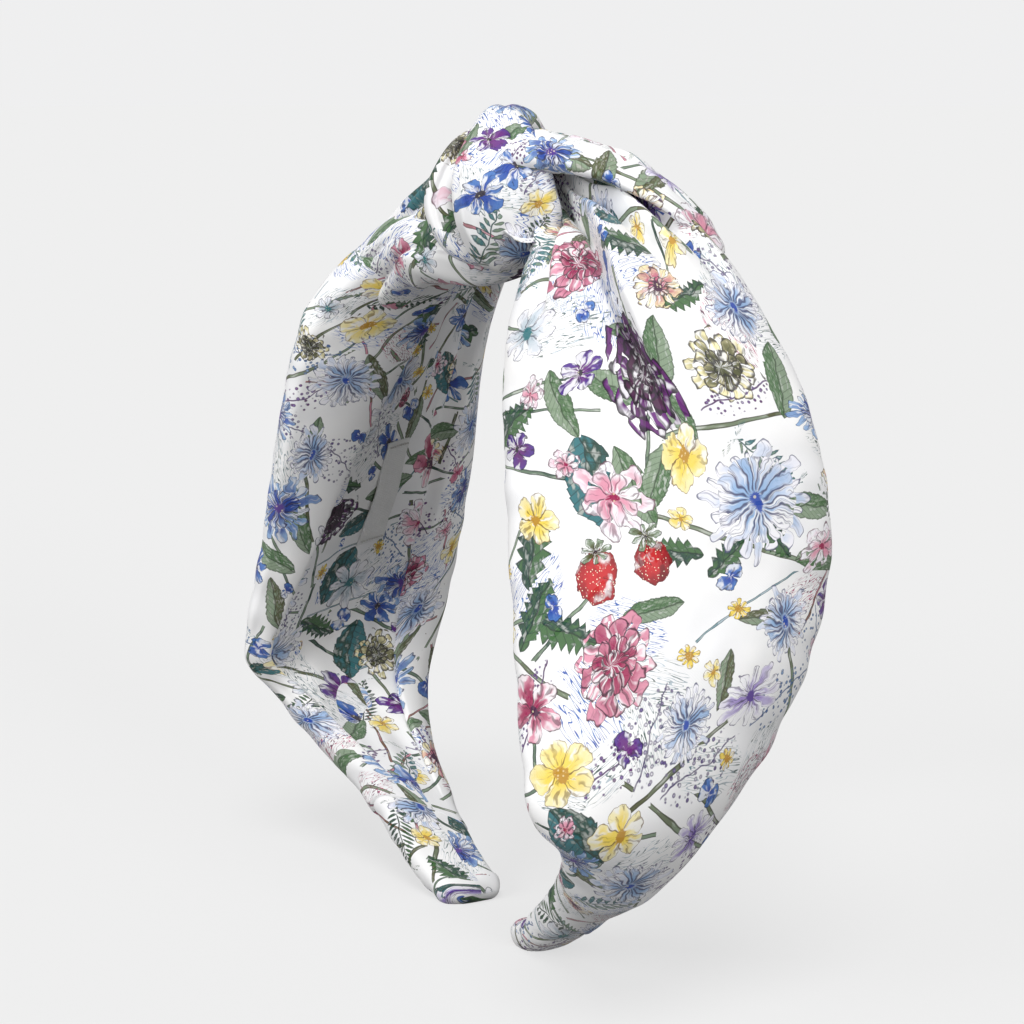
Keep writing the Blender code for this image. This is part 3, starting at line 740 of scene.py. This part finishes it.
def leg_cover(side, suffix):
    t = np.linspace(0.118, 1.2, 310)
    leg = Leg(t, side)
    phi = even_angles(216, leg)
    q, h = leg.outline(phi)
    points = leg.point(q, h)
    share = q / leg.half[:, None]
    run = leg.run[:, None] + TIP_RUN
    cloth = cloth_coords(points)
    girth = cloth[:, -1:, 0] + np.linalg.norm(points[:, 0] - points[:, -1], axis=1)[:, None]
    cloth[..., 0] -= girth / 2
    cloth[..., 1] = run

    # The cover's open end is cut on a slant and stands a little proud of the tip sleeve.
    ahead = unit(np.gradient(leg.mid, axis=0))[:, None]
    end = (1 - smooth(t, 0.118, 0.24))[:, None]
    points = points - ahead * (share * 4.5 * end)[..., None]

    outside = smooth(np.sin(phi), -0.2, 0.4)[None] * np.ones_like(q)
    height = pleated(leg, q) * outside * (1.0 if side > 0 else 0.45)
    # On the head side the cover rolls over the padding on both sides of the lining panel.
    front, back = (e[:, None] for e in panel_edges(t))
    rolls = np.clip((share + 1) / (front + 1), 0, 1), np.clip((1 - share) / (1 - back), 0, 1)
    roll = sum(np.sin(math.pi / 2 * r) ** 1.3 * (1 - smooth(r, 0.86, 1.0)) for r in rolls)
    inside = smooth(-np.sin(phi), 0.05, 0.5)[None]
    stand = np.interp(t, *np.transpose(ROLL))[:, None]
    height += inside * (stand * roll - 0.6 * (1 - roll)) * smooth(t, 0.13, 0.25)[:, None]
    height += 0.4 * end ** 3 * (0.4 + outside)
    edge = smooth(np.abs(share), 0.72, 0.98)
    height += edge * 0.14 * ripples(q * 0, run + 0 * q, 8.0, 11 + side)
    height += outside * 0.26 * ripples(cloth[..., 0], run + 0 * q, 26, 5 + side)
    height += outside * 0.12 * ripples(cloth[..., 0], run + 0 * q, 9, 8 + side)
    points = points + normals(points, True) * height[..., None]
    points[..., 2] = np.maximum(points[..., 2], 0.15)
    # The print follows the cloth over its pleats.
    around = cloth_coords(points)[..., 0]
    cloth[..., 0] = around - around[:, -1:] / 2
    obj = grid_mesh("cover_" + suffix, points, cloth, wrap=True, side=side, caps=True)
    printed(obj, 20 + side, RIGHT_LEG if side > 0 else LEFT_LEG)
    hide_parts("outer_cover_" + suffix, "foam_pad_" + suffix, "knot_shoulder_" + suffix)
    join_leg(obj)


def join_leg(obj):
    """Bakes the object's placement into its mesh."""
    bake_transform(obj)


# Edges of the lining panel across the leg, as shares of the half width: (share of leg, front, back).
PANEL = np.array([(0.10, -0.50, 0.50), (0.16, -0.52, 0.52), (0.30, -0.74, 0.50), (0.42, -0.80, 0.46),
                  (0.50, -0.74, 0.46), (0.60, -0.60, 0.46), (0.72, -0.42, 0.48), (0.85, -0.22, 0.50),
                  (1.20, -0.10, 0.50)])


def panel_edges(t):
    return np.interp(t, PANEL[:, 0], PANEL[:, 1]), np.interp(t, PANEL[:, 0], PANEL[:, 2])


def leg_lining(side, suffix):
    t = np.linspace(0.125, 1.06, 215)
    leg = Leg(t, side)
    across = np.linspace(-1, 1, 75)
    front, back = panel_edges(t)
    middle, breadth = (front + back) / 2, (back - front) / 2 + 0.07
    q = (middle[:, None] + breadth[:, None] * across[None]) * leg.half[:, None]
    run = leg.run[:, None] + TIP_RUN + 6
    puckers = ripples(q * 0, run + 0 * q, 4.5, 31 + side)
    folds = ripples(q * 1.6, run * 0.5 + 0 * q, 14, 21 + side)
    edge = smooth(np.abs(across), 0.8, 1.0)[None]
    # The panel lies flat under the label and in soft folds elsewhere.
    calm = 1 - 0.8 * np.exp(-((q - LABEL_ACROSS) / 7) ** 4 - ((run - TIP_RUN - 6 - LABEL_RUN) / 18) ** 4)
    h = 0.10 + 0.8 * edge ** 2 - 0.5 * folds * (1 - edge) * calm - 0.16 * puckers * edge
    h += 1.3 * (1 - smooth(t, 0.125, 0.17))[:, None]
    points = leg.point(q, h)
    cloth = np.stack([q + 200, run + 0 * q], -1)
    obj = grid_mesh("lining_cloth_" + suffix, points, cloth, side=side, flip=True)
    printed(obj, 30 + side, LEFT_LINING if side < 0 else {})
    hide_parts("lining_" + suffix)
    wide = 2 * breadth * leg.half
    cut = float(np.sum((wide[1:] + wide[:-1]) / 2 * np.diff(leg.run)))
    join_leg(obj)


def tip_sleeve(side, suffix):
    t = np.concatenate([np.linspace(0.0, 0.02, 8), np.linspace(0.024, 0.20, 62)])
    leg = Leg(t, side)
    phi = np.linspace(-math.pi / 2, 1.5 * math.pi, 97)[:-1]
    q, h = leg.outline(phi)
    share, low = np.cos(phi)[None], (ROUND_LOW * leg.thick)[:, None]
    flat_top = low + (leg.thick[:, None] - low) * np.sqrt(np.maximum(1 - np.abs(share) ** 4, 0))
    h = np.where(np.sin(phi)[None] >= 0, flat_top, h)
    # The end is a closed, rounded seam.
    shrink = np.sqrt(1 - (1 - np.clip(t / 0.02, 0, 1)) ** 2 * 0.97)[:, None]
    mid = low + 0.6
    buried = (1 - 0.22 * smooth(t, 0.10, 0.2))[:, None]
    q, h = q * (0.55 + 0.45 * shrink) * buried, mid + (h - mid) * shrink * buried
    points = leg.point(q, h)
    cloth = cloth_coords(points) + 400
    height = 0.10 * ripples(cloth[..., 0], cloth[..., 1], 5.0, 41 + side)
    points = points + normals(points, True) * height[..., None]
    points[..., 2] = np.maximum(points[..., 2], 0.0)
    obj = grid_mesh("tip_cloth_" + suffix, points, cloth, wrap=True, side=side, caps=True)
    printed(obj, 40 + side)
    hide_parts("tip_sleeve_" + suffix)
    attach(obj, suffix + "_leg")


# ---- the knot -----------------------------------------------------------------------------
# The knot is turned from the front of the head: A runs along the wrap's width, B is the way
# its face looks, and Z is up.
KNOT_TURN = math.radians(60.9)
KNOT_AXES = np.array([(math.cos(KNOT_TURN), math.sin(KNOT_TURN), 0),
                      (math.sin(KNOT_TURN), -math.cos(KNOT_TURN), 0), (0, 0, 1)])


def strand(name, rows, face, cloth_at, folds, around=120, along=170, full=2.2):
    """A padded strand of cloth: rows of A, B, Z, half width, half depth; face is the way its
    wide side looks (A, B, Z) or the point (A, B, Z) it loops round."""
    rows = np.array(rows, float)
    keys = np.concatenate([[0], np.cumsum(np.linalg.norm(np.diff(rows[:, :3], axis=0), axis=1))])
    keys /= keys[-1]
    s = np.linspace(0, 1, along)
    data = ease(np.column_stack([keys, rows]), s)
    path = data[:, :3] @ KNOT_AXES
    if face[0] == "round":
        out = path - np.array(face[1]) @ KNOT_AXES
    else:
        out = np.array(face[1], float) @ KNOT_AXES * np.ones((along, 1))
    ahead = unit(np.gradient(path, axis=0))
    out = unit(out - ahead * (out * ahead).sum(1, keepdims=True))
    side = np.cross(ahead, out)
    phi = np.linspace(-math.pi / 2, 1.5 * math.pi, around + 1)[:-1]
    c, v = np.cos(phi), np.sin(phi)
    c, v = np.sign(c) * np.abs(c) ** (2 / full), np.sign(v) * np.abs(v) ** (2 / full)
    # Both ends close to a point inside the knot or under the next piece of cloth.
    close = np.sqrt(np.clip(np.minimum(s, 1 - s) / 0.03, 0.02, 1))[:, None]
    points = (path[:, None] + side[:, None] * (data[:, 3, None] * c * close)[..., None]
              + out[:, None] * (data[:, 4, None] * v * close)[..., None])
    cloth = cloth_coords(points)
    cloth[..., 0] += cloth_at[0] - cloth[:, -1:, 0] / 2
    cloth[..., 1] += cloth_at[1]
    height = np.zeros(points.shape[:2])
    place, front = c[None] * np.ones_like(height), smooth(v, -0.3, 0.3)[None]
    for line, deep, reach in folds:
        line = np.array(line)
        centre = np.interp(s, line[:, 0], line[:, 1])
        begin, end = line[0, 0], line[-1, 0]
        power = smooth(s, begin - 0.04, begin + 0.06) * (1 - smooth(s, end - 0.06, end + 0.04))
        d = (place - centre[:, None]) * data[:, 3, None]
        height += power[:, None] * fold(d, 1.5 * deep, reach) * front
    height += 0.18 * ripples(cloth[..., 0], cloth[..., 1] * 0.5, 6, sum(map(ord, name)))
    points = points + normals(points, True) * (height * close)[..., None]
    obj = grid_mesh(name, points, cloth, wrap=True, side=1, caps=True)
    printed(obj, 50 + len(name), WRAP if name == "knot_front_wrap" else {})
    return obj


def knot():
    wrap = strand("knot_front_wrap",
                  [(3.5, 4, 132, 5.5, 2.2), (2.8, 10, 133, 8.0, 3.0), (0.8, 13.8, 138.5, 9.2, 3.6),
                   (-0.6, 13.8, 145.5, 9.0, 3.8), (-0.8, 9.5, 151.8, 7.0, 3.4), (-0.6, 3, 155.6, 4.8, 3.2),
                   (0.6, -4, 154.8, 6.0, 3.2), (1.5, -11, 150, 8.0, 3.4), (1.5, -14, 143, 9.0, 3.4),
                   (1.0, -11, 135, 8.0, 3.0), (1, -4, 132, 6, 2.2)],
                  ("round", (0.5, 0, 146)), (0, 300),
                  [(((0.06, 0.35), (0.20, 0.62), (0.40, 0.40)), 0.7, 2.2),
                   (((0.02, 0.62), (0.20, 0.84), (0.42, 0.70)), 0.6, 1.6),
                   (((0.05, -0.55), (0.20, -0.74), (0.36, -0.6)), -0.5, 2.0),
                   (((0.50, 0.2), (0.90, -0.1)), 0.7, 2.5), (((0.50, -0.5), (0.90, -0.6)), 0.6, 2.0)])
    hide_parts("knot_wrap", "knot_padding")
    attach(wrap, "crown")

    over = strand("knot_over_strand",
                  [(-7, -4, 146, 5, 3.6), (-1, 2, 149.5, 7.0, 4.2), (6, 8.5, 150.6, 8.0, 3.8),
                   (12, 13, 150.4, 8.2, 2.9), (18, 16.0, 149.0, 8.0, 2.2), (24, 18.5, 146.4, 7.2, 1.8),
                   (30, 20.5, 142.6, 6.0, 1.5), (35, 21.5, 138.2, 4.6, 1.1), (39, 22, 133.5, 3.0, 0.8)],
                  ("look", (0, 0.15, 1)), (40, 330),
                  [(((0.18, -0.30), (0.45, -0.15), (0.80, -0.2)), 0.5, 2.6),
                   (((0.30, 0.45), (0.60, 0.5), (0.85, 0.4)), 0.35, 2.0)])
    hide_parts("gather_strand_right")
    join_leg(over)

    left = [("knot_lower_roll",
             [(-31, -27, 116, 5, 2.5), (-25, -21, 124.5, 7.2, 4.4), (-18, -13.5, 130.8, 7.4, 5.8),
              (-11, -5, 131.4, 6.2, 6.0), (-4, 2, 130.6, 4.8, 5.0), (3, 6, 131.4, 3.4, 3.6),
              (9, 8, 134, 2.2, 2.4)],
             ("look", (0.1, 1, 0.1)), (80, 360),
             [(((0.10, 0.1), (0.45, 0.2), (0.80, 0.0)), 0.7, 2.4), (((0.15, -0.5), (0.55, -0.45)), 0.6, 2.0)]),
            ("knot_crescent_strand",
             [(-2, -2, 153, 3.2, 3.2), (-6, 1, 150.5, 3.8, 3.8), (-9.3, 3.5, 146, 3.8, 4.4),
              (-10.6, 5, 140.5, 3.8, 4.4), (-8.5, 7, 135.5, 3.8, 3.8), (-3, 8.5, 132.5, 3.0, 3.0)],
             ("look", (-0.6, 1, 0.1)), (120, 390), [(((0.20, 0.0), (0.75, 0.2)), 0.5, 1.6)]),
            ("knot_outer_strand",
             [(1, -4, 151, 4, 3), (-4.5, -5, 147.3, 5.4, 4.0), (-9.5, -8, 142.6, 6.0, 4.4),
              (-15.5, -13, 136.8, 6.2, 4.6), (-22.5, -20, 129, 6.2, 4.4), (-30, -28, 119, 5.2, 3.4),
              (-34, -33, 110, 4, 1.6)],
             ("look", (-0.55, 0.45, 0.7)), (160, 420),
             [(((0.15, -0.2), (0.50, -0.35), (0.8, -0.3)), 0.9, 2.4), (((0.3, 0.4), (0.8, 0.3)), 0.5, 2.0)])]
    for name, rows, face, at, folds in left:
        obj = strand(name, rows, face, at, folds)
        if name == "knot_crescent_strand":
            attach(obj, "crown")
        else:
            join_leg(obj)
        if name == "knot_outer_strand":
            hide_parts("gather_strand_left")

    # The underside of the crown, lined like the legs.
    x = np.linspace(-19, 19, 60)
    y = np.linspace(-8.5, 15.5, 36)
    rise = 134.2 + 4.0 * (1 - (x / 20) ** 2)
    lift = 1.4 * (np.abs((y - 3.5) / 12) ** 4)
    across, along = np.meshgrid(y, x)
    points = np.stack([along, across, rise[:, None] + lift[None]], -1)
    cloth = np.stack([points[..., 1] + 240, points[..., 0] + 40], -1)
    points[..., 2] += 0.3 * ripples(points[..., 0], points[..., 1], 9, 77)
    under = grid_mesh("lining_cloth_crown", points, cloth, flip=True)
    printed(under, 71)
    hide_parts("lining_crown")
    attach(under, "crown")


# ---- the label ----------------------------------------------------------------------------
def tape():
    """Woven label tape: fine ribs across and a slightly thicker edge."""
    mat, tree, shader = material("label_tape")
    cloth = on_cloth(tree)
    u, v, _ = parts(tree, cloth)
    mottle = noise(tree, cloth, 700.0, 3.0)
    colour = blend(tree, mottle, (0.72, 0.72, 0.71, 1), (0.82, 0.82, 0.81, 1))
    tree.links.new(colour.socket, shader.inputs["Base Color"])
    shader.inputs["Roughness"].default_value = 0.62
    shader.inputs["Sheen Weight"].default_value = 0.3
    ribs = sums(tree, "SINE", v * (math.tau / 0.00045)) * 0.5
    height = ribs + sums(tree, "SINE", u * (math.tau / 0.0006)) * 0.25
    bumped(tree, shader, height + mottle * 0.6, 0.5, 0.00012)
    return mat


def thread(name, colour):
    """Spun sewing thread: twisted plies across the stitch."""
    mat, tree, shader = material(name)
    u, v, _ = parts(tree, on_cloth(tree))
    ply = sums(tree, "SINE", (u + v) * (math.tau / 0.0004))
    # Painted shade: the grooves between the twisted plies are coloured 30% darker, following the same ripple
    # as the bump
    shade = blend(tree, rise(tree, ply, -0.8, 0.8), tuple(0.7 * c for c in colour) + (1,), colour + (1,))
    tree.links.new(shade.socket, shader.inputs["Base Color"])
    shader.inputs["Roughness"].default_value = 0.55
    shader.inputs["Sheen Weight"].default_value = 0.3
    bumped(tree, shader, ply, 0.4, 0.0001)
    return mat


LABEL_LIFT = -0.55     # height of the label's shown face over the head-side face of the leg


def label():
    """A blank woven label sewn to the left leg's lining."""
    rows, cols = 90, 30
    share = np.linspace(-0.5, 0.5, rows)
    t = LABEL_AT + share * LABEL_LONG / (LABEL_RUN / (LABEL_AT - 0.118))
    leg = Leg(t, -1)
    q = LABEL_ACROSS + LABEL_WIDE * np.linspace(-0.5, 0.5, cols)[None] * np.ones((rows, 1))
    ends = np.abs(share * 2)[:, None]
    sag = 0.25 * np.cos(share * math.tau * 1.5)[:, None] * (1 - ends ** 6)
    face = LABEL_LIFT - sag - 0.12 * np.cos(q * 0.9) * (1 - ends ** 4) + 0.28 * smooth(ends, 0.86, 1.0)
    under = face + 0.28
    ring_q = np.concatenate([q, q[:, ::-1]], 1)
    ring_h = np.concatenate([face, under[:, ::-1]], 1)
    points = leg.point(ring_q, ring_h)
    cloth = np.stack([ring_q + 500, (share * LABEL_LONG)[:, None] + 0 * ring_q], -1)
    obj = grid_mesh("woven_label_tape", points, cloth, wrap=True, side=-1, caps=True)
    obj.data.materials.append(tape())
    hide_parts("woven_label")
    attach(obj, "left_leg")
    spun = thread("thread", (0.66, 0.65, 0.62))
    for name, end in (("upper", 0.46), ("lower", -0.46)):
        stitches(name, end, spun)


def stitches(name, end, spun):
    """A row of short stitches across one end of the label."""
    count, around, along = 9, 10, 12
    points, flat, faces = [], [], []
    for k in range(count):
        start = LABEL_ACROSS + LABEL_WIDE * (0.86 * ((k + 0.5) / count - 0.5))
        s = np.linspace(-1, 1, along)
        q = start + 0.29 * s
        t = np.full(along, LABEL_AT + end * LABEL_LONG / (LABEL_RUN / (LABEL_AT - 0.118)))
        base = len(points)
        for j in range(along):
            bulge = math.sqrt(max(1 - abs(s[j]) ** 4, 0.02))
            for a in np.linspace(0, math.tau, around + 1)[:-1]:
                leg = Leg(np.array([t[j] + 0.0011 * bulge * math.sin(a)]), -1)
                h = LABEL_LIFT - 0.12 - 0.16 * bulge * math.cos(a) + 0.10 * (1 - bulge)
                points.append(leg.point(np.array([[q[j]]]), np.array([[h]]))[0, 0])
                flat.append((q[j], a * 0.16))
        for j in range(along - 1):
            for i in range(around):
                n = (i + 1) % around
                faces.append((base + j * around + i, base + j * around + n,
                              base + (j + 1) * around + n, base + (j + 1) * around + i))
        faces.append(tuple(base + i for i in range(around))[::-1])
        faces.append(tuple(base + (along - 1) * around + i for i in range(around)))
    mesh = bpy.data.meshes.new("label_thread_" + name)
    mesh.from_pydata((np.array(points) * (-1, 1, 1) * K * MM).tolist(), [], faces)
    uv = mesh.uv_layers.new(name="cloth")
    corner = np.zeros(len(mesh.loops), int)
    mesh.loops.foreach_get("vertex_index", corner)
    uv.data.foreach_set("uv", (np.array(flat)[corner] * MM).astype(np.float32).ravel())
    shell = bmesh.new()
    shell.from_mesh(mesh)
    bmesh.ops.recalc_face_normals(shell, faces=shell.faces)
    for face in shell.faces:
        face.smooth = True
    shell.to_mesh(mesh)
    shell.free()
    obj = bpy.data.objects.new("label_thread_" + name, mesh)
    bpy.context.scene.collection.objects.link(obj)
    mesh.materials.append(spun)
    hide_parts("label_stitch_" + name)
    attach(obj, "left_leg")


def band_plastic():
    """Moulded white plastic of the core band, faintly mottled."""
    mat, tree, shader = material("band_plastic")
    where = tree.nodes.new("ShaderNodeTexCoord")
    grain = noise(tree, Value(tree, where.outputs["Object"]), 400.0, 3.0)
    colour = blend(tree, grain, (0.70, 0.70, 0.68, 1), (0.78, 0.78, 0.76, 1))
    tree.links.new(colour.socket, shader.inputs["Base Color"])
    shader.inputs["Roughness"].default_value = 0.42
    bumped(tree, shader, grain, 0.2, 0.0001)
    return mat


label()
for side, suffix in ((1, "right"), (-1, "left")):
    leg_cover(side, suffix)
    leg_lining(side, suffix)
    tip_sleeve(side, suffix)
knot()
plastic = band_plastic()
for node in ("core_band_crown", "core_band_left", "core_band_right"):
    for place in frame["nodes"][node].material_slots:
        place.material = plastic


# ---- stage --------------------------------------------------------------------------------
# Even light from all round and three soft suns: azimuth, elevation, angle across, strength.
SUNS = (("top", 55.0, 62.0, 28.0, 1.60), ("side", 92.0, 18.0, 20.0, 1.05),
        ("left", 6.0, 25.0, 35.0, 1.60))
AMBIENT, FLOOR_SHADE = 0.33, 0.20
BACKDROP, FLOOR_GLOW = 0.863, 0.863 - FLOOR_SHADE * (
    AMBIENT + sum(s[4] * math.sin(math.radians(s[2])) for s in SUNS) / math.pi)


def stage():
    mesh = bpy.data.meshes.new("floor")
    ring = [(6 * math.cos(a), 6 * math.sin(a), 0) for a in np.linspace(0, math.tau, 65)[:-1]]
    mesh.from_pydata(ring, [], [tuple(range(64))])
    floor = bpy.data.objects.new("floor", mesh)
    bpy.context.scene.collection.objects.link(floor)
    mat, tree, shader = material("floor_paper")
    shader.inputs["Base Color"].default_value = (FLOOR_SHADE, FLOOR_SHADE, FLOOR_SHADE, 1)
    shader.inputs["Roughness"].default_value = 1.0
    shader.inputs["Specular IOR Level"].default_value = 0.0
    seen = Value(tree, tree.nodes.new("ShaderNodeLightPath").outputs["Is Camera Ray"])
    shader.inputs["Emission Color"].default_value = (1, 1, 1, 1)
    plug(tree, shader.inputs["Emission Strength"], seen * FLOOR_GLOW)
    mesh.materials.append(mat)

    world = bpy.data.worlds.new("studio")
    bpy.context.scene.world = world
    world.use_nodes = True
    nodes, links = world.node_tree.nodes, world.node_tree.links
    back = nodes["Background"]
    path = nodes.new("ShaderNodeLightPath")
    pick = nodes.new("ShaderNodeMix")
    pick.data_type = "RGBA"
    pick.inputs[6].default_value = (AMBIENT, AMBIENT, AMBIENT, 1)
    pick.inputs[7].default_value = (BACKDROP, BACKDROP, BACKDROP * 1.005, 1)
    links.new(path.outputs["Is Camera Ray"], pick.inputs[0])
    links.new(pick.outputs[2], back.inputs["Color"])

    for name, azimuth, elevation, angle, strength in SUNS:
        light = bpy.data.lights.new(name, "SUN")
        light.energy, light.angle = strength, math.radians(angle)
        obj = bpy.data.objects.new(name, light)
        azimuth, elevation = math.radians(azimuth), math.radians(elevation)
        toward = Vector((math.sin(azimuth) * math.cos(elevation), -math.cos(azimuth) * math.cos(elevation),
                         math.sin(elevation)))
        obj.rotation_euler = toward.to_track_quat("Z", "Y").to_euler()
        bpy.context.scene.collection.objects.link(obj)


AZIMUTH, ELEVATION = math.radians(60.9), math.radians(11.35)
DISTANCE, LENS = 0.450 * K, 82.7
toward = Vector((math.sin(AZIMUTH) * math.cos(ELEVATION), -math.cos(AZIMUTH) * math.cos(ELEVATION),
                 math.sin(ELEVATION)))
sideways = Vector((math.cos(AZIMUTH), math.sin(AZIMUTH), 0))
target = sideways * 0.00127 * K + Vector((0, 0, 0.0822 * K))
camera = bpy.data.objects.new("camera", bpy.data.cameras.new("camera"))
camera.data.lens, camera.data.sensor_width = LENS, 36
camera.data.clip_start = 0.01
camera.location = target + toward * DISTANCE
camera.rotation_euler = (-toward).to_track_quat("-Z", "Y").to_euler()
bpy.context.scene.collection.objects.link(camera)
bpy.context.scene.camera = camera
bpy.context.scene.view_settings.view_transform = "Standard"
stage()
